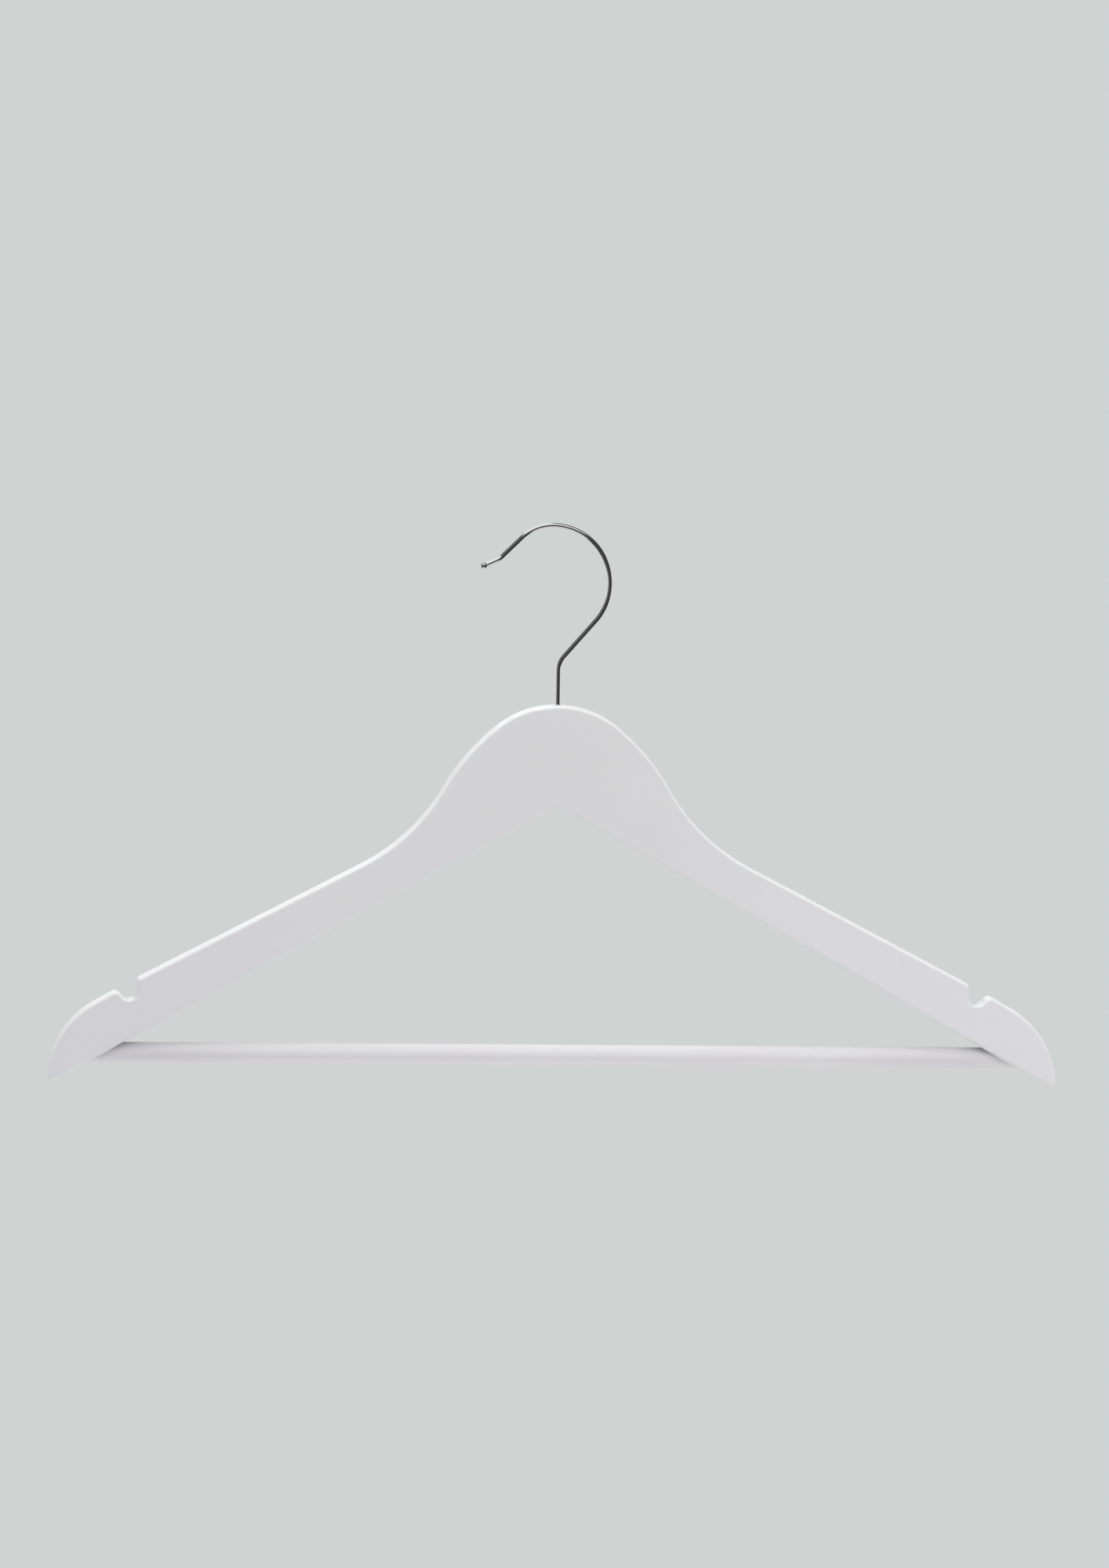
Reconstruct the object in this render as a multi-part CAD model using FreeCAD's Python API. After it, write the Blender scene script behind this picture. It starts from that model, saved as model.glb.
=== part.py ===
import FreeCAD, Part

import math
import os

# A wooden clothes hanger with a swivelling wire hook, a trouser bar and two strap notches.
#
# Millimetres. +Z is up, +X is to the right of the front, and the front faces -Y. The origin is the
# point that the hanger hangs from: on the swivel axis, at the inside of the hook's loop, half-way
# through the thickness. The pieces are drawn with z = 0 at the crown, which is the highest point
# of the wood, and are lowered to the origin when they are written.

# Wooden body: outer shape
THICKNESS = 12.0
EDGE_ROUND = 1.3
CROWN_RADIUS = 41.9
FLANK_RADIUS = 94.0
NECK_RADIUS = 89.0
VEE_DEPTH = 44.2             # crown to the point where the two underside lines would cross
VEE_RADIUS = 9.0
UNDERSIDE_SLOPE = 29.15      # degrees below horizontal
NOTCH_X = 183.7              # inner wall of the strap notch
NOTCH_RIM_RADIUS = 1.6
NOTCH_RADIUS = 3.8
PEAK_RADIUS = 2.8            # outer lip of the notch
OUTER_RADIUS = 38.5          # from the peak round to the side of the tip
SIDE_RADIUS = 35.0
TIP_X = 223.6                # where the outer curve would meet the underside
TIP_RADIUS = 1.8

# Joint between the two arms: a tongue on the right arm, glued in a groove in the left one
TONGUE_THICKNESS = 5.0
TONGUE_REACH = 13.0          # past the centre line, into the left arm
GLUE_GAP = 0.05

# Trouser bar and the brads that pin it
BAR_RADIUS = 4.5
BAR_Z = -155.0
BAR_END_X = 212.0
BAR_CHAMFER = 0.5
BRAD_X = 207.0
BRAD_RADIUS = 0.6
BRAD_HEAD_RADIUS = 0.95
BRAD_HEAD_THICKNESS = 0.5
BRAD_SUNK = 0.8              # depth of filler and paint over the head
BRAD_LENGTH = 8.8
BRAD_POINT = 1.2
BRAD_GAP = 0.02

# Hook: the bends of one wire, from the crown to the tip
WIRE_RADIUS = 0.95
STEM_RISE = 15.5
STEM_BEND_RADIUS = 9.0
SHANK_LEAN = 41.0            # degrees from vertical
SHANK_LENGTH = 21.0
LOOP_RADIUS = 25.5
LOOP_TURN = 131.5
CROOK_RADIUS = 19.3          # the tighter last part of the loop
CROOK_TURN = 44.0
MOUTH_LENGTH = 12.2
LIP_BEND_RADIUS = 8.0
LIP_BEND_TURN = 20.7
LIP_LENGTH = 6.0
BALL_RADIUS = 1.4

# Swivel: wire clearance, pressed-in bush, washer and riveted head, from the top down
CLEARANCE_RADIUS = 1.15
BUSH_TOP_Z = -14.4
BUSH_RADIUS = 1.6
BUSH_BORE_RADIUS = WIRE_RADIUS + 0.05
BUSH_PRESS_GAP = 0.02
FLANGE_TOP_Z = -38.4
FLANGE_RADIUS = 3.0
FLANGE_THICKNESS = 0.8
WASHER_GAP = 0.1
WASHER_RADIUS = 2.9
WASHER_THICKNESS = 0.8
HEAD_RADIUS = 2.2
HEAD_THICKNESS = 1.6
HEAD_ROUND = 0.95
COUNTERBORE_RADIUS = 3.5

# Heights that follow from the above
WASHER_TOP_Z = FLANGE_TOP_Z - FLANGE_THICKNESS - WASHER_GAP
HEAD_TOP_Z = WASHER_TOP_Z - WASHER_THICKNESS
BIG = 600.0

UP = FreeCAD.Vector(0, 0, 1)
BACK = FreeCAD.Vector(0, 1, 0)
RIGHT = FreeCAD.Vector(1, 0, 0)


def at(x, z, y=0.0):
    return FreeCAD.Vector(x, y, z)


def heading(degrees):
    """Unit vector in the XZ plane, measured from +X towards +Z."""
    angle = math.radians(degrees)
    return at(math.cos(angle), math.sin(angle))


def rounded_wire(corners):
    """Closed wire in the XZ plane through (x, z, radius) corners, each rounded by a tangent arc."""
    points = [at(x, z) for x, z, _ in corners]
    arcs = []
    for i, (_, _, radius) in enumerate(corners):
        here = points[i]
        before = (points[i - 1] - here).normalize()
        after = (points[(i + 1) % len(points)] - here).normalize()
        half_angle = before.getAngle(after) / 2
        setback = radius / math.tan(half_angle)
        middle = here + (before + after).normalize() * (radius / math.sin(half_angle) - radius)
        arcs.append((here + before * setback, middle, here + after * setback))
    edges = []
    for i, (start, middle, end) in enumerate(arcs):
        edges.append(Part.LineSegment(arcs[i - 1][2], start).toShape())
        edges.append(Part.Arc(start, middle, end).toShape())
    return Part.Wire(edges)


def body_outline():
    """Front view of both arms together, clockwise from the crown."""
    vee_slope = math.tan(math.radians(UNDERSIDE_SLOPE))
    right = [
        (14.5, 0.0, CROWN_RADIUS),
        (40.5, -20.4, FLANK_RADIUS),
        (62.7, -59.2, NECK_RADIUS),
        (NOTCH_X, -122.2, NOTCH_RIM_RADIUS),
        (NOTCH_X, -137.2, NOTCH_RADIUS),
        (192.8, -127.2, PEAK_RADIUS),
        (216.0, -140.4, OUTER_RADIUS),
        (221.8, -157.7, SIDE_RADIUS),
        (TIP_X, -VEE_DEPTH - TIP_X * vee_slope, TIP_RADIUS),
    ]
    vee = [(0.0, -VEE_DEPTH, VEE_RADIUS)]
    left = [(-x, z, radius) for x, z, radius in reversed(right)]
    return rounded_wire(right + vee + left)


def body_blank():
    """Both arms as one rounded board, before they are parted and drilled."""
    face = Part.Face(body_outline())
    face.translate(BACK * (-THICKNESS / 2))
    board = face.extrude(BACK * THICKNESS)
    long_edges = [e for e in board.Edges if abs(abs(e.CenterOfMass.y) - THICKNESS / 2) < 1e-6]
    return board.makeFillet(EDGE_ROUND, long_edges)


def right_of(x):
    """Everything to the right of a plane."""
    return Part.makeBox(BIG, BIG, BIG, FreeCAD.Vector(x, -BIG / 2, -BIG / 2))


def tongue_zone(gap):
    """The tongue's space, left of the centre line, grown by the gap."""
    width = TONGUE_REACH + gap
    thickness = TONGUE_THICKNESS + 2 * gap
    return Part.makeBox(width, thickness, BIG, FreeCAD.Vector(-width, -thickness / 2, -BIG / 2))


def rod(radius, bottom_z, top_z):
    """Upright cylinder on the swivel axis."""
    return Part.makeCylinder(radius, top_z - bottom_z, at(0, bottom_z), UP)


def neck_bores():
    """Wire clearance, seat of the bush and counterbore, all on the swivel axis."""
    below = -2 * VEE_DEPTH
    clearance = rod(CLEARANCE_RADIUS, below, 1.0)
    seat = rod(BUSH_RADIUS + BUSH_PRESS_GAP, below, BUSH_TOP_Z)
    counterbore = rod(COUNTERBORE_RADIUS, below, FLANGE_TOP_Z)
    return clearance.fuse([seat, counterbore])


def bar_cylinder(gap):
    """The trouser bar, grown by the gap on its round side and its ends."""
    end_x = BAR_END_X + gap
    return Part.makeCylinder(BAR_RADIUS + gap, 2 * end_x, at(-end_x, BAR_Z), RIGHT)


def brad(side, gap=0.0):
    """Headed pin driven through arm and bar from the back, grown by the gap."""
    head_y = THICKNESS / 2 - BRAD_SUNK
    radius = BRAD_RADIUS + gap
    head_radius = BRAD_HEAD_RADIUS + gap
    tip_y = head_y - BRAD_LENGTH
    profile = [
        (0.0, head_y + gap),
        (head_radius, head_y + gap),
        (head_radius, head_y - BRAD_HEAD_THICKNESS - gap),
        (radius, head_y - BRAD_HEAD_THICKNESS - gap),
        (radius, tip_y + BRAD_POINT - gap),
        (0.0, tip_y - gap),
    ]
    points = [FreeCAD.Vector(x, y, 0) for x, y in profile]
    pin = Part.Face(Part.makePolygon(points + points[:1])).revolve(FreeCAD.Vector(), BACK, 360)
    pin.translate(at(side * BRAD_X, BAR_Z))
    return pin


def drilled(arm, side):
    """An arm with its share of the neck bores, the bar's socket and the brad's hole."""
    return arm.cut([neck_bores(), bar_cylinder(GLUE_GAP), brad(side, BRAD_GAP)])


def left_arm(blank):
    arm = blank.cut([right_of(0.0), tongue_zone(GLUE_GAP)])
    return drilled(arm, -1)


def right_arm(blank):
    arm = blank.common(right_of(0.0))
    tongue = blank.common(tongue_zone(0.0))
    return drilled(arm.fuse(tongue).removeSplitter(), 1)


def trouser_bar():
    bar = bar_cylinder(0.0)
    ends = [e for e in bar.Edges if abs(abs(e.CenterOfMass.x) - BAR_END_X) < 1e-6]
    bar = bar.makeChamfer(BAR_CHAMFER, ends)
    return bar.cut([brad(-1, BRAD_GAP), brad(1, BRAD_GAP)])


class Bender:
    """A wire bent in the XZ plane: a chain of tangent straights and arcs."""

    def __init__(self, x, z, direction):
        self.point = at(x, z)
        self.direction = direction
        self.edges = []

    def straight(self, length):
        end = self.point + heading(self.direction) * length
        self.edges.append(Part.LineSegment(self.point, end).toShape())
        self.point = end

    def bend(self, radius, turn):
        """Turn by so many degrees, positive to the left."""
        side = math.copysign(90, turn)
        centre = self.point + heading(self.direction + side) * radius
        middle = centre + heading(self.direction - side + turn / 2) * radius
        end = centre + heading(self.direction - side + turn) * radius
        self.edges.append(Part.Arc(self.point, middle, end).toShape())
        self.point = end
        self.direction += turn


def hook_path():
    """Centre line of the wire, from the riveted head to the ball at the tip."""
    wire = Bender(0.0, HEAD_TOP_Z, 90)
    wire.straight(STEM_RISE - HEAD_TOP_Z)
    wire.bend(STEM_BEND_RADIUS, -SHANK_LEAN)
    wire.straight(SHANK_LENGTH)
    wire.bend(LOOP_RADIUS, LOOP_TURN)
    wire.bend(CROOK_RADIUS, CROOK_TURN)
    wire.straight(MOUTH_LENGTH)
    wire.bend(LIP_BEND_RADIUS, -LIP_BEND_TURN)
    wire.straight(LIP_LENGTH)
    return wire


def hook():
    """One chromed wire with a ball at the tip and a domed, riveted head inside the neck."""
    path = hook_path()
    section = Part.Wire(Part.Circle(at(0, HEAD_TOP_Z), UP, WIRE_RADIUS).toShape())
    wire = Part.Wire(path.edges).makePipeShell([section], True, False)
    ball = Part.makeSphere(BALL_RADIUS, path.point)
    head = rod(HEAD_RADIUS, HEAD_TOP_Z - HEAD_THICKNESS, HEAD_TOP_Z)
    rim = [e for e in head.Edges if abs(e.CenterOfMass.z - HEAD_TOP_Z + HEAD_THICKNESS) < 1e-6]
    head = head.makeFillet(HEAD_ROUND, rim)
    return wire.fuse([ball, head])


def swivel_bush():
    """Thin sleeve pressed into the neck from below, with a flange that seats in the counterbore."""
    flange_bottom = FLANGE_TOP_Z - FLANGE_THICKNESS
    sleeve = rod(BUSH_RADIUS, flange_bottom, BUSH_TOP_Z)
    flange = rod(FLANGE_RADIUS, flange_bottom, FLANGE_TOP_Z)
    return sleeve.fuse(flange).cut(rod(BUSH_BORE_RADIUS, flange_bottom - 1, BUSH_TOP_Z + 1))


def thrust_washer():
    """Flat washer between the bush's flange and the riveted head."""
    washer = rod(WASHER_RADIUS, HEAD_TOP_Z, WASHER_TOP_Z)
    return washer.cut(rod(BUSH_BORE_RADIUS, HEAD_TOP_Z - 1, WASHER_TOP_Z + 1))


def hang_height():
    """Height of the loop's inside above the crown, on the swivel axis."""
    above_stem = Part.makeLine(at(0, 2 * STEM_RISE), at(0, BIG))
    _, closest_pairs, _ = above_stem.distToShape(Part.Wire(hook_path().edges))
    crossing = closest_pairs[0][0]
    return crossing.z - WIRE_RADIUS


def write(name, shape):
    shape.translate(UP * -hang_height())
    assert shape.isValid() and len(shape.Solids) == 1, name
    shape.Solids[0].exportStep(f"parts/{name}.step")


def main():
    os.makedirs("parts", exist_ok=True)
    blank = body_blank()
    write("left_arm", left_arm(blank))
    write("right_arm", right_arm(blank))
    write("trouser_bar", trouser_bar())
    write("left_bar_brad", brad(-1))
    write("right_bar_brad", brad(1))
    write("swivel_bush", swivel_bush())
    write("thrust_washer", thrust_washer())
    write("hook", hook())


main()
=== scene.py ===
# Looks of the white clothes hanger: paint, chrome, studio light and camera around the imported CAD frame.
import math

import bmesh
import bpy
from mathutils import Matrix, Vector, noise


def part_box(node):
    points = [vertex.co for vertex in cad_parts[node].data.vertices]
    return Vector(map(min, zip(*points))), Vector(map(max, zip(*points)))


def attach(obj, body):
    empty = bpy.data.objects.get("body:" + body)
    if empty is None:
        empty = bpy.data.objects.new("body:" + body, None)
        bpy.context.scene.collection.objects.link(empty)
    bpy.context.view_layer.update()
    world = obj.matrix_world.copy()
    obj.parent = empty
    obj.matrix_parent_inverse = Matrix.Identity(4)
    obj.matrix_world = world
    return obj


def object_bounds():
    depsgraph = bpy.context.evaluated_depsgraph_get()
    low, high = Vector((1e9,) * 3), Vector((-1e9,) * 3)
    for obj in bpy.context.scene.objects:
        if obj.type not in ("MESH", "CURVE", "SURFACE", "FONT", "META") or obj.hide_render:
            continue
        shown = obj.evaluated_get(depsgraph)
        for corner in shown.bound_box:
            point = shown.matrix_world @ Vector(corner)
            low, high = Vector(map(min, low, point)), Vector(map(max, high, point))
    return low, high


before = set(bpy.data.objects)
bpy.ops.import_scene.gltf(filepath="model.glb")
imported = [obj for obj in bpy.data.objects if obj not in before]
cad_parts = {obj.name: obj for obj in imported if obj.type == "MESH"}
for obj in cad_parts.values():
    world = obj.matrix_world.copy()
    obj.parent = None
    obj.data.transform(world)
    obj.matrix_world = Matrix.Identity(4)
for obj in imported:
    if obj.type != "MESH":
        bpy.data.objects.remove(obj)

CAD_BOX = [list(corner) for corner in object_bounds()]
MM = 0.001
WOOD_BODY = "wooden_frame"
GRAIN_SLOPE = math.radians(29.15)    # the arms fall at this angle, and their grain runs along them

# Camera: the viewing angle, and the point the lens looks straight at.
VIEW_AZIMUTH = math.radians(-4.0)
VIEW_ELEVATION = math.radians(5.5)
VIEW_ROLL = math.radians(0.861)
VIEW_DISTANCE = 5.0
VIEW_HEIGHT = 0.6894
AIM = Vector((-1.67, -10.64, -112.17)) * MM
SENSOR = 36.0
FAR_CLIP = 100.0

# Paint on the wood: its tone by distance from the middle, and painted light by the way the surface faces:
# painted shade on surfaces that face up, painted bounce light on those that face down.
PAINT_MIDDLE = (0.836, 0.834, 0.848, 1)
PAINT_SHOULDER = (0.856, 0.853, 0.868, 1)
PAINT_TIP = (0.856, 0.847, 0.889, 1)
PAINT_TOP_SHADE = (0.805, 0.818, 0.812, 1)
PAINT_UNDERSIDE_LIGHT = (0.885, 0.900, 0.890, 1)
MIDDLE_TO_SHOULDER = (0.04, 0.10)    # distances from the middle where one tone gives way to the next
SHOULDER_TO_TIP = (0.09, 0.19)

# Marks in the paint, and the painted shade in hollows.
PAINT_PATCH = (0.846, 0.838, 0.858, 1)
PAINT_PORE = (0.80, 0.785, 0.80, 1)
PAINT_DULL = (0.80, 0.775, 0.79, 1)
PAINT_SPECK = (0.55, 0.52, 0.53, 1)
PAINT_WORN = (0.80, 0.76, 0.70, 1)
PAINT_HOLLOW_SHADE = (0.55, 0.55, 0.57, 1)
HOLLOW_REACH = 6.5 * MM

# Filler over the brads.
FILLER = (0.845, 0.835, 0.850, 1)
FILLER_PATCH = (0.800, 0.785, 0.790, 1)
FILLER_DIRT = (0.60, 0.57, 0.54, 1)

# Lacquer on the trouser bar, with painted shade on its top, towards its ends, in hollows and under the
# arms.
BAR_COOL = (0.855, 0.838, 0.868, 1)
BAR_WARM = (0.868, 0.858, 0.870, 1)
BAR_TOP_SHADE = (0.700, 0.700, 0.715, 1)
BAR_END_TINT_AND_SHADE = (0.785, 0.768, 0.805, 1)
BAR_HOLLOW_SHADE = (0.42, 0.41, 0.44, 1)
BAR_ARM_SHADOW = (0.42, 0.41, 0.45, 1)
BAR_GRAIN = (0.77, 0.735, 0.765, 1)
BAR_SPECK = (0.56, 0.52, 0.53, 1)
BAR_HOLLOW_REACH = 4.5 * MM
SHADE_WIDTH = (6.5 * MM, 2.0 * MM)   # the shade under an arm starts and is full at these gaps
SHADE_LIFT = (1.0 * MM, 3.5 * MM)    # and over these heights above the bottom of the bar

# Metals.
CHROME = (0.83, 0.835, 0.85, 1)
CHROME_RUBBED = (0.76, 0.765, 0.775, 1)
CHROME_PIT = (0.30, 0.29, 0.28, 1)
BRASS = (0.80, 0.61, 0.30, 1)
BRASS_TARNISH = (0.36, 0.22, 0.09, 1)
STEEL = (0.62, 0.62, 0.63, 1)
STEEL_TARNISH = (0.25, 0.21, 0.18, 1)

# Small pieces of paint and filler. Lines towards an arm start at a share of the bar's half length,
# and run just clear of the bar.
LINE_START = 0.6
LINE_CLEARANCE = 0.1 * MM
BEAD_CLEARANCE = 0.08 * MM
BEAD_STEPS = 96
BEAD_SIDES = 12
BEAD_THICKNESS = 0.38 * MM
LIP_STEPS = 48
LIP_SIDES = 10
LIP_RADIUS = 1.34 * MM
LIP_THICKNESS = 0.16 * MM
SPOT_SIDES = 40
SPOT_RINGS = 6
SPOT_RADIUS = 1.35 * MM
SPOT_RISE = 0.05 * MM
SPOT_SINK = 0.2                      # depth of the rim in the wood, as a share of the rise
SPOT_WOBBLE = 0.12                   # unevenness of the outline, as a share of the radius

# Studio: one flat pale colour for the floor and everything behind the hanger.
BACKDROP = (0.6240, 0.6514, 0.6445, 1.0)
FLOOR_DROP = 0.9
FLOOR_HALF = 30.0
FLOOR_BOUNCE = (0.80, 0.80, 0.80, 1)
SKY_LOW = 0.255
SKY_HIGH = 0.90

# Soft boxes: name, place, aim, width, depth and power.
LIGHTS = (
    ("overhead_box", (0.0, -0.05, 0.9), (0, 0, -0.15), 0.4, 0.4, 4.1),
    ("left_overhead_box", (-0.7, -0.1, 1.2), (0, 0, -0.15), 1.0, 1.0, 5.8),
    ("right_box", (0.62, -0.5, 0.0), (0.08, 0, -0.18), 0.4, 0.6, 1.05),
)

# What the chrome mirrors: pale walls behind, a dark room in front, a soft box above and a pale card below.
# The dark room is darkest to the lower right and lightest to the upper left. The clock angles run round
# the line of sight from straight up, and each pair says where an edge fades.
MIRRORED_WALL = 0.60
MIRRORED_BOX = 0.92
DARK_ROOM_SPAN = (-0.7, 1.3)
DARK_ROOM = (0.036, 0.145)
DARK_REACH_CLOCK = (math.radians(8), math.radians(30))
DARK_REACH = (-0.02, -0.80)
BOX_LEFT_CLOCK = (math.radians(-43), math.radians(-37))
BOX_RIGHT_CLOCK = (math.radians(46), math.radians(36))
BOX_STEP_CLOCK = (math.radians(-5), math.radians(12))
BOX_STEP_FRONT = (0.42, 0.34)
BOX_NEAR_FRONT = (0.995, 0.95)
CARD_CLOCK = (math.radians(143), math.radians(153))
CARD_FRONT = (0.62, 0.38)


# ---------------------------------------------------------------- node helpers

def add(tree, kind, inputs=None, **settings):
    """A new shader node: settings are its properties, inputs its values or the sockets linked to it."""
    node = tree.nodes.new("ShaderNode" + kind)
    for name, value in settings.items():
        setattr(node, name, value)
    for name, value in (inputs or {}).items():
        if isinstance(value, bpy.types.NodeSocket):
            tree.links.new(value, node.inputs[name])
        else:
            node.inputs[name].default_value = value
    return node


def calc(tree, operation, *values):
    """The result of one Math node."""
    return add(tree, "Math", dict(enumerate(values)), operation=operation).outputs[0]


def product(tree, *factors):
    """All the factors multiplied together."""
    result = factors[0]
    for factor in factors[1:]:
        result = calc(tree, "MULTIPLY", result, factor)
    return result


def ramp(tree, value, low, high, to_low=0.0, to_high=1.0):
    """Value eased from low..high to to_low..to_high."""
    inputs = {"Value": value, 1: low, 2: high, 3: to_low, 4: to_high}
    node = add(tree, "MapRange", inputs, interpolation_type="SMOOTHSTEP", clamp=True)
    return node.outputs[0]


def blended(tree, share, first, second):
    """Value between first and second."""
    return add(tree, "Mix", {0: share, 2: first, 3: second}).outputs[0]


def mixed(tree, share, first, second):
    """Colour between first and second."""
    return add(tree, "Mix", {0: share, 6: first, 7: second}, data_type="RGBA").outputs[2]


def tinted(tree, colour, mask, share, tint):
    """Colour moved towards the tint: all of the share where the mask is 1, none where it's 0."""
    return mixed(tree, product(tree, mask, share), colour, tint)


def grey(tree, level):
    """A level as a colour."""
    return add(tree, "CombineColor", {0: level, 1: level, 2: level}).outputs[0]


def split(tree, vector):
    """The X, Y and Z of a vector."""
    return add(tree, "SeparateXYZ", {"Vector": vector}).outputs


def object_place(tree):
    """The point on the object, in its own metres."""
    return add(tree, "TexCoord").outputs["Object"]


def stretched(tree, turn, scale):
    """The point on the object, turned about Y and scaled per axis, in cycles per metre."""
    turned = add(tree, "Mapping", {"Vector": object_place(tree), "Rotation": (0, turn, 0)})
    return add(tree, "Mapping", {"Vector": turned.outputs[0], "Scale": scale}).outputs[0]


def cloud(tree, vector, scale=1.0, detail=2.0, roughness=0.5):
    """Smooth noise from 0 to 1."""
    inputs = {"Vector": vector, "Scale": scale, "Detail": detail, "Roughness": roughness}
    return add(tree, "TexNoise", inputs).outputs["Fac"]


def bump(tree, height, depth, normal=None):
    """A bump of height (0 to 1) times depth in metres."""
    inputs = {"Height": height, "Distance": depth, "Strength": 1.0}
    if normal is not None:
        inputs["Normal"] = normal
    return add(tree, "Bump", inputs).outputs[0]


def material(name):
    """A new material and its empty node tree."""
    made = bpy.data.materials.new(name)
    made.use_nodes = True
    made.node_tree.nodes.clear()
    return made, made.node_tree


def finish_with(tree, **inputs):
    """Ends a material with a Principled surface."""
    names = {name.replace("_", " "): value for name, value in inputs.items()}
    surface = add(tree, "BsdfPrincipled", names)
    add(tree, "OutputMaterial", {"Surface": surface.outputs[0]})


# ---------------------------------------------------------------- masks

def specks(tree, cells, size, share):
    """Sparse small round marks: 1 in the middle of a mark and 0 outside."""
    spots = add(tree, "TexVoronoi", {"Vector": object_place(tree), "Scale": cells}, feature="F1")
    picked = add(tree, "SeparateColor", {"Color": spots.outputs["Color"]}).outputs[0]
    inside = ramp(tree, spots.outputs["Distance"], size, 0.0)
    return product(tree, inside, calc(tree, "GREATER_THAN", picked, 1.0 - share))


def own_normal(tree):
    """The surface direction along the object's own X, Y and Z."""
    normal = add(tree, "NewGeometry").outputs["Normal"]
    local = add(tree, "VectorTransform", {"Vector": normal}, vector_type="NORMAL",
                convert_from="WORLD", convert_to="OBJECT")
    return split(tree, local.outputs[0])


def edge_mask(tree):
    """1 where the surface turns between the flat faces and the edge walls, 0 on both."""
    facing = calc(tree, "ABSOLUTE", own_normal(tree)[1])
    return product(tree, ramp(tree, facing, 0.05, 0.5), ramp(tree, facing, 0.995, 0.85))


def hollow_shade(tree, reach):
    """Mask for painted shade: 1 in hollows, where other surfaces stand within reach, easing to 0 on open
    surfaces.
    """
    open_to_light = add(tree, "AmbientOcclusion", {"Distance": reach}, samples=8).outputs["AO"]
    return ramp(tree, open_to_light, 0.97, 0.60)


def arm_shadow_mask(tree, entry):
    """Mask for the painted shadow an arm casts on the bar: 1 on the front and back of the bar just under an
    arm, easing to 0 away from it.
    entry holds the points where the arm's underside passes the bottom and the top of the bar.
    """
    lower, upper = entry
    x, _, z = split(tree, object_place(tree))
    line = {"Value": z, 1: lower.z, 2: upper.z, 3: lower.x, 4: upper.x}
    underside = add(tree, "MapRange", line, clamp=False).outputs[0]
    gap = calc(tree, "SUBTRACT", underside, calc(tree, "ABSOLUTE", x))
    near = ramp(tree, gap, *SHADE_WIDTH)
    above = ramp(tree, z, *(lower.z + lift for lift in SHADE_LIFT))
    facing = ramp(tree, calc(tree, "ABSOLUTE", own_normal(tree)[1]), 0.3, 0.8)
    return product(tree, near, above, facing)


# ---------------------------------------------------------------- materials

def wood_tone(tree):
    """The even tone under the marks: warm in the middle, cooler at the tips, with painted shade on surfaces
    that face up and painted light on surfaces that face down.
    """
    out = calc(tree, "ABSOLUTE", split(tree, object_place(tree))[0])
    tone = mixed(tree, ramp(tree, out, *MIDDLE_TO_SHOULDER), PAINT_MIDDLE, PAINT_SHOULDER)
    tone = mixed(tree, ramp(tree, out, *SHOULDER_TO_TIP), tone, PAINT_TIP)
    # Painted shade on surfaces that face up, painted bounce light on surfaces that face down.
    tilt = own_normal(tree)[2]
    tone = mixed(tree, ramp(tree, tilt, 0.2, 0.7), tone, PAINT_TOP_SHADE)
    return mixed(tree, ramp(tree, tilt, -0.2, -0.7), tone, PAINT_UNDERSIDE_LIGHT)


def painted_wood(name, slope):
    """White satin paint over sanded wood: the grain runs down the arm at the given slope."""
    made, tree = material(name)
    where = object_place(tree)
    grain = cloud(tree, stretched(tree, slope, (22, 420, 420)), 1, 4, 0.6)
    fine_grain = cloud(tree, stretched(tree, slope, (60, 1500, 1500)), 1, 3, 0.6)
    patches = ramp(tree, cloud(tree, where, 24, 3), 0.32, 0.68)
    pores = ramp(tree, grain, 0.55, 0.80)
    dull = ramp(tree, cloud(tree, where, 90, 5, 0.65), 0.58, 0.82)
    worn = product(tree, edge_mask(tree), ramp(tree, cloud(tree, where, 160, 4, 0.6), 0.5, 0.75))

    colour = tinted(tree, wood_tone(tree), patches, 0.5, PAINT_PATCH)
    colour = tinted(tree, colour, pores, 0.25, PAINT_PORE)
    colour = tinted(tree, colour, dull, 0.22, PAINT_DULL)
    colour = tinted(tree, colour, specks(tree, 55, 0.025, 0.10), 0.35, PAINT_SPECK)
    colour = tinted(tree, colour, worn, 0.14, PAINT_WORN)
    # Painted shade in hollows, such as the floor of each notch next to its wall.
    colour = tinted(tree, colour, hollow_shade(tree, HOLLOW_REACH), 0.85, PAINT_HOLLOW_SHADE)

    sheen = ramp(tree, cloud(tree, where, 70, 4), 0.3, 0.7, 0.36, 0.47)
    rough = calc(tree, "ADD", sheen, product(tree, pores, 0.08))
    normal = bump(tree, cloud(tree, where, 650, 2), 0.012 * MM)
    normal = bump(tree, fine_grain, 0.008 * MM, normal)
    normal = bump(tree, grain, 0.025 * MM, normal)
    normal = bump(tree, cloud(tree, where, 35, 2), 0.10 * MM, normal)
    finish_with(tree, Base_Color=colour, Roughness=rough, Normal=normal, Specular_IOR_Level=0.4,
                Coat_Weight=0.15, Coat_Roughness=0.3)
    return made


def filler_paint(name):
    """Paint over wood filler: duller than the rest, with shallow dimples and a faint ring of dirt."""
    made, tree = material(name)
    where = object_place(tree)
    patches = ramp(tree, cloud(tree, where, 900, 3), 0.35, 0.65)
    dirt = ramp(tree, own_normal(tree)[1], 0.9995, 0.996)
    colour = tinted(tree, mixed(tree, patches, FILLER, FILLER_PATCH), dirt, 0.35, FILLER_DIRT)
    rough = ramp(tree, cloud(tree, where, 1400, 3), 0.3, 0.7, 0.45, 0.60)
    normal = bump(tree, cloud(tree, where, 1800, 3), 0.02 * MM)
    finish_with(tree, Base_Color=colour, Roughness=rough, Normal=normal, Specular_IOR_Level=0.3)
    return made


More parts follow.
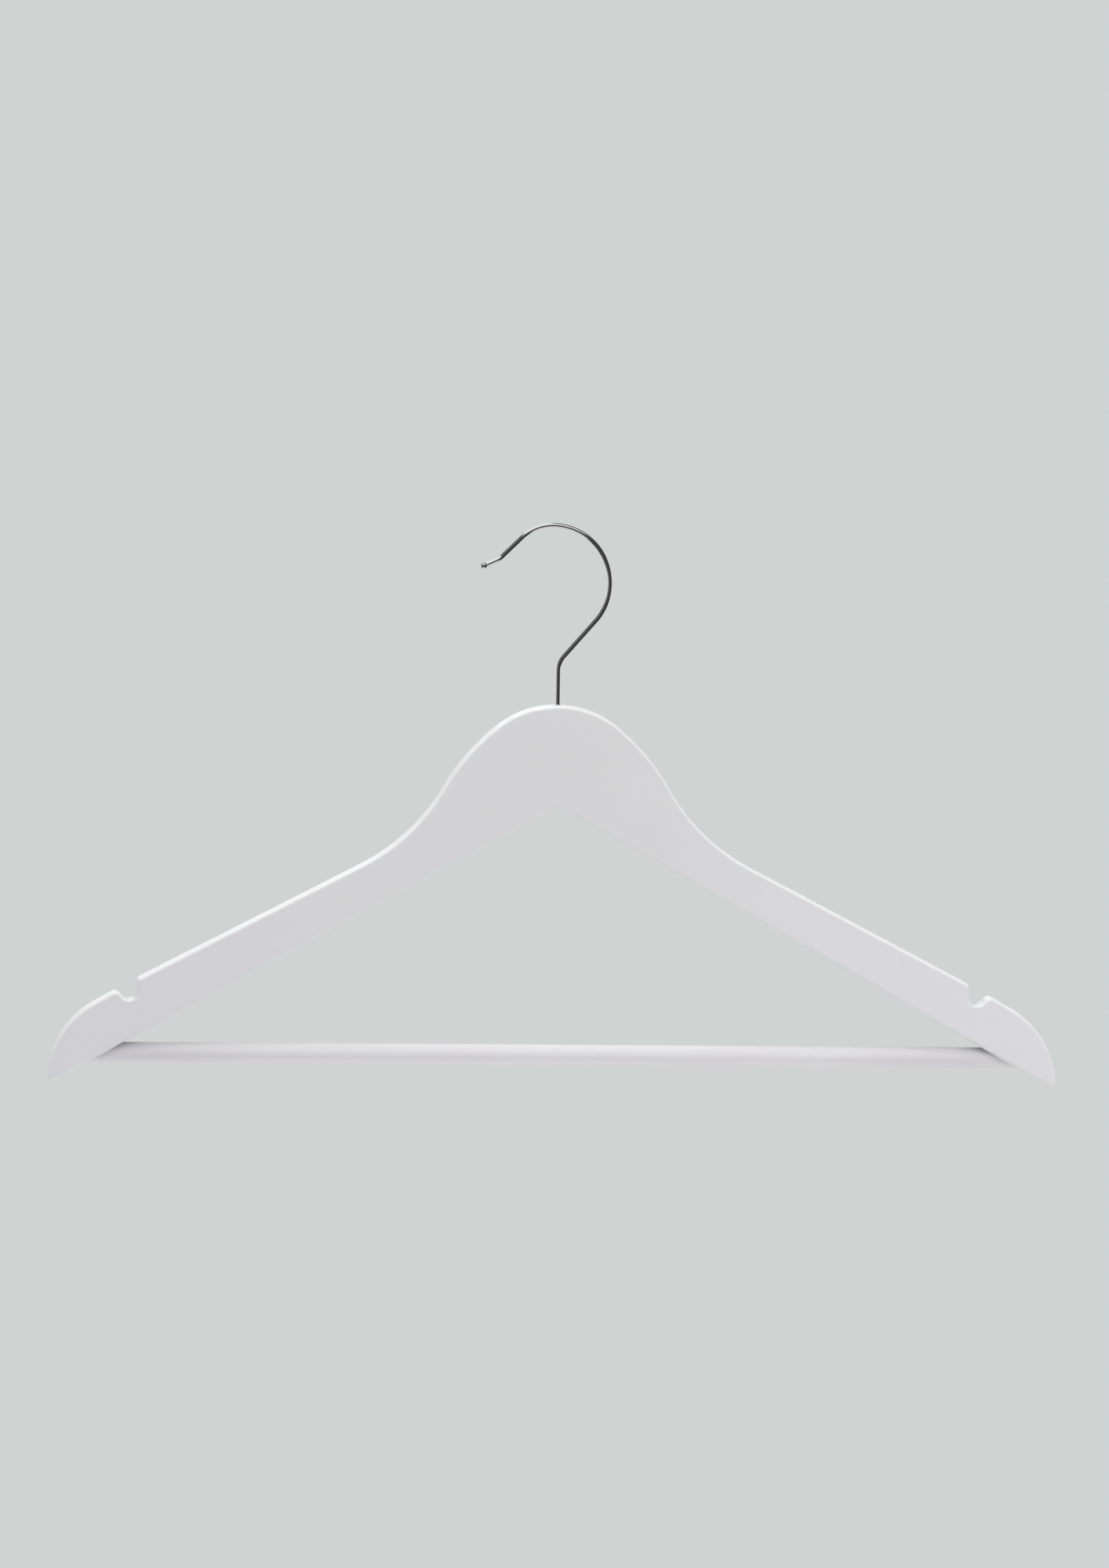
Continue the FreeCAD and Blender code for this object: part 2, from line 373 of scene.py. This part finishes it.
def painted_dowel(name, reach, entry):
    """Thin white lacquer over a turned rod: the grain runs along X, the tone cools and darkens towards both
    ends, and painted shade lies on its top, in hollows and under the arms.
    reach is the distance from the middle to an end, and entry is where the arm meets the rod.
    """
    made, tree = material(name)
    where = object_place(tree)
    patches = ramp(tree, cloud(tree, stretched(tree, 0, (18, 60, 60)), 1, 3), 0.35, 0.65)
    up = ramp(tree, own_normal(tree)[2], 0.0, 0.8)
    out = calc(tree, "ABSOLUTE", split(tree, where)[0])
    ends = ramp(tree, out, 0.5 * reach, 0.85 * reach)
    along = stretched(tree, 0, (14, 520, 520))
    grain = ramp(tree, cloud(tree, along, 1, 5, 0.62), 0.50, 0.78)

    # Painted shade on the top of the bar, where it faces up.
    colour = tinted(tree, mixed(tree, patches, BAR_COOL, BAR_WARM), up, 0.35, BAR_TOP_SHADE)
    # Cooler and darker towards both ends: partly a lilac tint in the lacquer, partly painted shade near the
    # arms.
    colour = mixed(tree, ends, colour, BAR_END_TINT_AND_SHADE)
    # Painted shade in hollows, such as where the bar goes into the arms.
    colour = tinted(tree, colour, hollow_shade(tree, BAR_HOLLOW_REACH), 0.10, BAR_HOLLOW_SHADE)
    # Painted shadow that each arm casts on the bar, along the arm's underside.
    colour = tinted(tree, colour, arm_shadow_mask(tree, entry), 0.38, BAR_ARM_SHADOW)
    colour = tinted(tree, colour, grain, 0.30, BAR_GRAIN)
    colour = tinted(tree, colour, specks(tree, 70, 0.03, 0.08), 0.3, BAR_SPECK)

    rough = ramp(tree, cloud(tree, where, 80, 4), 0.3, 0.7, 0.30, 0.42)
    lathe_marks = cloud(tree, stretched(tree, 0, (900, 60, 60)), 1, 2)
    normal = bump(tree, lathe_marks, 0.006 * MM)
    normal = bump(tree, cloud(tree, along, 1, 4, 0.6), 0.030 * MM, normal)
    finish_with(tree, Base_Color=colour, Roughness=rough, Normal=normal, Specular_IOR_Level=0.25,
                Coat_Weight=0.08, Coat_Roughness=0.3)
    return made


def chrome(name):
    """Bright chrome plate on drawn wire, with rubbed spots, tiny pits and faint ripples."""
    made, tree = material(name)
    where = object_place(tree)
    rubbed = ramp(tree, cloud(tree, where, 150, 4, 0.6), 0.42, 0.72)
    colour = mixed(tree, rubbed, CHROME, CHROME_RUBBED)
    colour = tinted(tree, colour, specks(tree, 480, 0.12, 0.10), 0.5, CHROME_PIT)
    grit = cloud(tree, where, 2600, 3, 0.7)
    rough = calc(tree, "ADD", ramp(tree, rubbed, 0, 1, 0.05, 0.13), product(tree, grit, 0.04))
    normal = bump(tree, cloud(tree, where, 900, 3), 0.004 * MM)
    finish_with(tree, Base_Color=colour, Metallic=1.0, Roughness=rough, Normal=normal)
    return made


def turned_metal(name, bright, tarnish, tarnish_share, smoothest):
    """Machined metal with rings about the vertical axis and blotches of tarnish."""
    made, tree = material(name)
    rings = cloud(tree, stretched(tree, 0, (150, 150, 7000)), 1, 3)
    blotch = ramp(tree, cloud(tree, object_place(tree), 420, 5, 0.65), 0.45, 0.75)
    colour = tinted(tree, bright, blotch, tarnish_share, tarnish)
    polish = ramp(tree, rings, 0.3, 0.7, smoothest, smoothest + 0.10)
    rough = calc(tree, "ADD", polish, product(tree, blotch, 0.2))
    normal = bump(tree, rings, 0.010 * MM)
    finish_with(tree, Base_Color=colour, Metallic=1.0, Roughness=rough, Normal=normal)
    return made


def dress(node, look):
    """Puts one material on every slot of a CAD node."""
    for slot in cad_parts[node].material_slots:
        slot.material = look


# ---------------------------------------------------------------- pieces

def new_piece(name, mesh_data, look):
    """A smooth-shaded piece of the painted finish that rides on the wood."""
    mesh = bpy.data.meshes.new(name)
    mesh_data.normal_update()
    mesh_data.to_mesh(mesh)
    mesh_data.free()
    for polygon in mesh.polygons:
        polygon.use_smooth = True
    mesh.materials.append(look)
    piece = bpy.data.objects.new(name, mesh)
    bpy.context.scene.collection.objects.link(piece)
    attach(piece, WOOD_BODY)


def closed_tube(centres, outward, radius, sides):
    """A tube around a closed line of centres: outward gives one crosswise direction per centre."""
    tube = bmesh.new()
    rings = []
    count = len(centres)
    for index, centre in enumerate(centres):
        heading = (centres[(index + 1) % count] - centres[index - 1]).normalized()
        across = (outward[index] - heading * outward[index].dot(heading)).normalized()
        third = heading.cross(across)
        ring = []
        for step in range(sides):
            angle = 2 * math.pi * step / sides
            away = across * math.cos(angle) + third * math.sin(angle)
            ring.append(tube.verts.new(centre + away * radius))
        rings.append(ring)
    for index in range(count):
        here, there = rings[index], rings[(index + 1) % count]
        for step in range(sides):
            after = (step + 1) % sides
            tube.faces.new((here[step], there[step], there[after], here[after]))
    bmesh.ops.recalc_face_normals(tube, faces=tube.faces)
    return tube


def first_hit(node, start, direction):
    """The first point of a CAD node on a line, or None if the line misses it."""
    hit, place, _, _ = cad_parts[node].ray_cast(start, direction)
    return place if hit else None


def arm_entry():
    """The points where the underside of the right arm passes just below and just above the bar."""
    low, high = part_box("trouser_bar")
    points = []
    for level in (low.z - LINE_CLEARANCE, high.z + LINE_CLEARANCE):
        points.append(first_hit("right_arm", Vector((LINE_START * high.x, 0, level)), Vector((1, 0, 0))))
    return points


def paint_bead(name, arm, side, look):
    """The bead of paint where the bar goes into an arm: it follows the line where the two surfaces meet."""
    low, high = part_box("trouser_bar")
    radius = (high.z - low.z) / 2
    start = Vector((side * LINE_START * high.x, 0, (high.z + low.z) / 2))
    centres = []
    outward = []
    for step in range(BEAD_STEPS):
        angle = 2 * math.pi * step / BEAD_STEPS
        away = Vector((0, math.cos(angle), math.sin(angle)))
        centres.append(first_hit(arm, start + away * (radius + BEAD_CLEARANCE), Vector((side, 0, 0))))
        outward.append(away)
    new_piece(name, closed_tube(centres, outward, BEAD_THICKNESS, BEAD_SIDES), look)


def crown_at(x, y):
    """The point of the wood straight below a spot over the crown, on whichever arm is on top there."""
    start = Vector((x, y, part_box("right_arm")[1].z + MM))
    hits = [first_hit(arm, start, Vector((0, 0, -1))) for arm in ("right_arm", "left_arm")]
    return max((place for place in hits if place is not None), key=lambda place: place.z)


def neck_lip(name, look):
    """The thin lip of paint round the hole that the wire goes into, lying on the crown."""
    low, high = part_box("right_arm")
    axis_y = (low.y + high.y) / 2
    centres = []
    outward = []
    for step in range(LIP_STEPS):
        angle = 2 * math.pi * (step + 0.5) / LIP_STEPS
        away = Vector((math.cos(angle), math.sin(angle), 0))
        centres.append(crown_at(LIP_RADIUS * away.x, axis_y + LIP_RADIUS * away.y))
        outward.append(away)
    new_piece(name, closed_tube(centres, outward, LIP_THICKNESS, LIP_SIDES), look)


def filler_spot(name, brad, look):
    """The low, slightly uneven spot of filler on the back, over the sunk head of a brad."""
    low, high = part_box(brad)
    middle = Vector(((low.x + high.x) / 2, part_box("right_arm")[1].y, (low.z + high.z) / 2))
    spot = bmesh.new()
    top = spot.verts.new(middle + Vector((0, SPOT_RISE, 0)))
    rings = []
    for level in range(1, SPOT_RINGS + 1):
        share = level / SPOT_RINGS
        rise = Vector((0, SPOT_RISE * (1 - share ** 2) - SPOT_SINK * SPOT_RISE * share, 0))
        ring = []
        for step in range(SPOT_SIDES):
            angle = 2 * math.pi * step / SPOT_SIDES
            across = Vector((math.cos(angle), 0, math.sin(angle)))
            wobble = 1 + SPOT_WOBBLE * noise.noise(across * 1.5 + middle * 40)
            ring.append(spot.verts.new(middle + across * SPOT_RADIUS * share * wobble + rise))
        rings.append(ring)
    for step in range(SPOT_SIDES):
        after = (step + 1) % SPOT_SIDES
        spot.faces.new((top, rings[0][after], rings[0][step]))
        for inner, outer in zip(rings, rings[1:]):
            spot.faces.new((inner[step], inner[after], outer[after], outer[step]))
    bmesh.ops.recalc_face_normals(spot, faces=spot.faces)
    new_piece(name, spot, look)


# ---------------------------------------------------------------- studio

def backdrop_floor():
    """The pale floor: one flat colour from above, clear from below, and not mirrored in the chrome."""
    level = CAD_BOX[0][2] - FLOOR_DROP
    sheet = bmesh.new()
    corners = ((-1, -1), (1, -1), (1, 1), (-1, 1))
    sheet.faces.new([sheet.verts.new((x * FLOOR_HALF, y * FLOOR_HALF, level)) for x, y in corners])
    mesh = bpy.data.meshes.new("floor")
    sheet.to_mesh(mesh)
    sheet.free()
    made, tree = material("pale_floor")
    seen = add(tree, "LightPath").outputs["Is Camera Ray"]
    plain = add(tree, "Emission", {"Color": mixed(tree, seen, FLOOR_BOUNCE, BACKDROP), "Strength": 1.0})
    clear = add(tree, "BsdfTransparent")
    behind = add(tree, "NewGeometry").outputs["Backfacing"]
    surface = add(tree, "MixShader", {0: behind, 1: plain.outputs[0], 2: clear.outputs[0]})
    add(tree, "OutputMaterial", {"Surface": surface.outputs[0]})
    mesh.materials.append(made)
    floor = bpy.data.objects.new("floor", mesh)
    bpy.context.scene.collection.objects.link(floor)
    floor.visible_glossy = False
    floor.visible_shadow = False


def mirrored_room(tree, x, y, z):
    """How bright the room is that the chrome mirrors, for a direction x, y, z."""
    front = calc(tree, "MULTIPLY", y, -1)
    clock = calc(tree, "ARCTAN2", x, z)
    unsigned = calc(tree, "ABSOLUTE", clock)

    dark = ramp(tree, calc(tree, "SUBTRACT", z, x), *DARK_ROOM_SPAN, *DARK_ROOM)
    off_level = calc(tree, "ABSOLUTE", calc(tree, "SUBTRACT", unsigned, math.pi / 2))
    dark_limit = ramp(tree, off_level, *DARK_REACH_CLOCK, *DARK_REACH)
    past_dark = ramp(tree, calc(tree, "SUBTRACT", dark_limit, front), 0.0, 0.2)
    room = blended(tree, past_dark, dark, MIRRORED_WALL)

    card = product(tree, ramp(tree, unsigned, *CARD_CLOCK), ramp(tree, front, *CARD_FRONT))
    room = blended(tree, card, room, MIRRORED_WALL)

    sides = product(tree, ramp(tree, clock, *BOX_LEFT_CLOCK), ramp(tree, clock, *BOX_RIGHT_CLOCK))
    step = product(tree, ramp(tree, clock, *BOX_STEP_CLOCK), ramp(tree, front, *BOX_STEP_FRONT))
    lit = calc(tree, "SUBTRACT", 1.0, step)
    box = product(tree, sides, ramp(tree, front, *BOX_NEAR_FRONT), lit)
    return blended(tree, box, room, MIRRORED_BOX)


def studio_world():
    """Camera rays see the flat backdrop, glossy rays the mirrored room, and the rest a soft sky."""
    world = bpy.data.worlds.new("studio")
    bpy.context.scene.world = world
    world.use_nodes = True
    tree = world.node_tree
    tree.nodes.clear()
    path = add(tree, "LightPath")
    x, y, z = split(tree, add(tree, "TexCoord").outputs["Generated"])
    soft = add(tree, "MapRange", {"Value": z, 1: 0.0, 2: 1.0, 3: SKY_LOW, 4: SKY_HIGH}).outputs[0]
    mirrored = grey(tree, mirrored_room(tree, x, y, z))
    unseen = mixed(tree, path.outputs["Is Glossy Ray"], grey(tree, soft), mirrored)
    colour = mixed(tree, path.outputs["Is Camera Ray"], unseen, BACKDROP)
    background = add(tree, "Background", {"Color": colour, "Strength": 1.0})
    add(tree, "OutputWorld", {"Surface": background.outputs[0]})


def soft_box(name, place, aim, width, depth, power):
    """A soft area light that mirrors don't show."""
    light = bpy.data.lights.new(name, "AREA")
    light.shape = "RECTANGLE"
    light.size = width
    light.size_y = depth
    light.energy = power
    lamp = bpy.data.objects.new(name, light)
    lamp.location = place
    lamp.rotation_euler = (Vector(aim) - Vector(place)).to_track_quat("-Z", "Y").to_euler()
    lamp.visible_glossy = False
    lamp.visible_camera = False
    bpy.context.scene.collection.objects.link(lamp)


def place_camera():
    """The camera at the viewing angle, rolled by the small tilt the hanger hangs at."""
    back = Vector((
        math.sin(VIEW_AZIMUTH) * math.cos(VIEW_ELEVATION),
        -math.cos(VIEW_AZIMUTH) * math.cos(VIEW_ELEVATION),
        math.sin(VIEW_ELEVATION),
    ))
    right = Vector((0, 0, 1)).cross(back).normalized()
    up = back.cross(right)
    turn = Matrix((right, up, back)).transposed() @ Matrix.Rotation(VIEW_ROLL, 3, "Z")
    lens = bpy.data.cameras.new("camera")
    lens.sensor_width = SENSOR
    lens.lens = SENSOR * VIEW_DISTANCE / VIEW_HEIGHT
    lens.clip_end = FAR_CLIP
    camera = bpy.data.objects.new("camera", lens)
    camera.matrix_world = Matrix.Translation(AIM + back * VIEW_DISTANCE) @ turn.to_4x4()
    bpy.context.scene.collection.objects.link(camera)
    bpy.context.scene.camera = camera


# ---------------------------------------------------------------- build

right_paint = painted_wood("right_paint", -GRAIN_SLOPE)
left_paint = painted_wood("left_paint", GRAIN_SLOPE)
steel = turned_metal("steel_metal", STEEL, STEEL_TARNISH, 0.5, 0.28)
dress("right_arm", right_paint)
dress("left_arm", left_paint)
dress("trouser_bar", painted_dowel("bar_lacquer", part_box("trouser_bar")[1].x, arm_entry()))
dress("hook", chrome("wire_chrome"))
dress("swivel_bush", turned_metal("bush_metal", BRASS, BRASS_TARNISH, 0.7, 0.22))
for steel_node in ("thrust_washer", "left_bar_brad", "right_bar_brad"):
    dress(steel_node, steel)

paint_bead("right_paint_bead", "right_arm", 1, right_paint)
paint_bead("left_paint_bead", "left_arm", -1, left_paint)
neck_lip("neck_paint_lip", right_paint)
filler = filler_paint("filler_paint")
filler_spot("right_filler_spot", "right_bar_brad", filler)
filler_spot("left_filler_spot", "left_bar_brad", filler)

bpy.context.scene.view_settings.view_transform = "Standard"
backdrop_floor()
studio_world()
for light in LIGHTS:
    soft_box(*light)
place_camera()
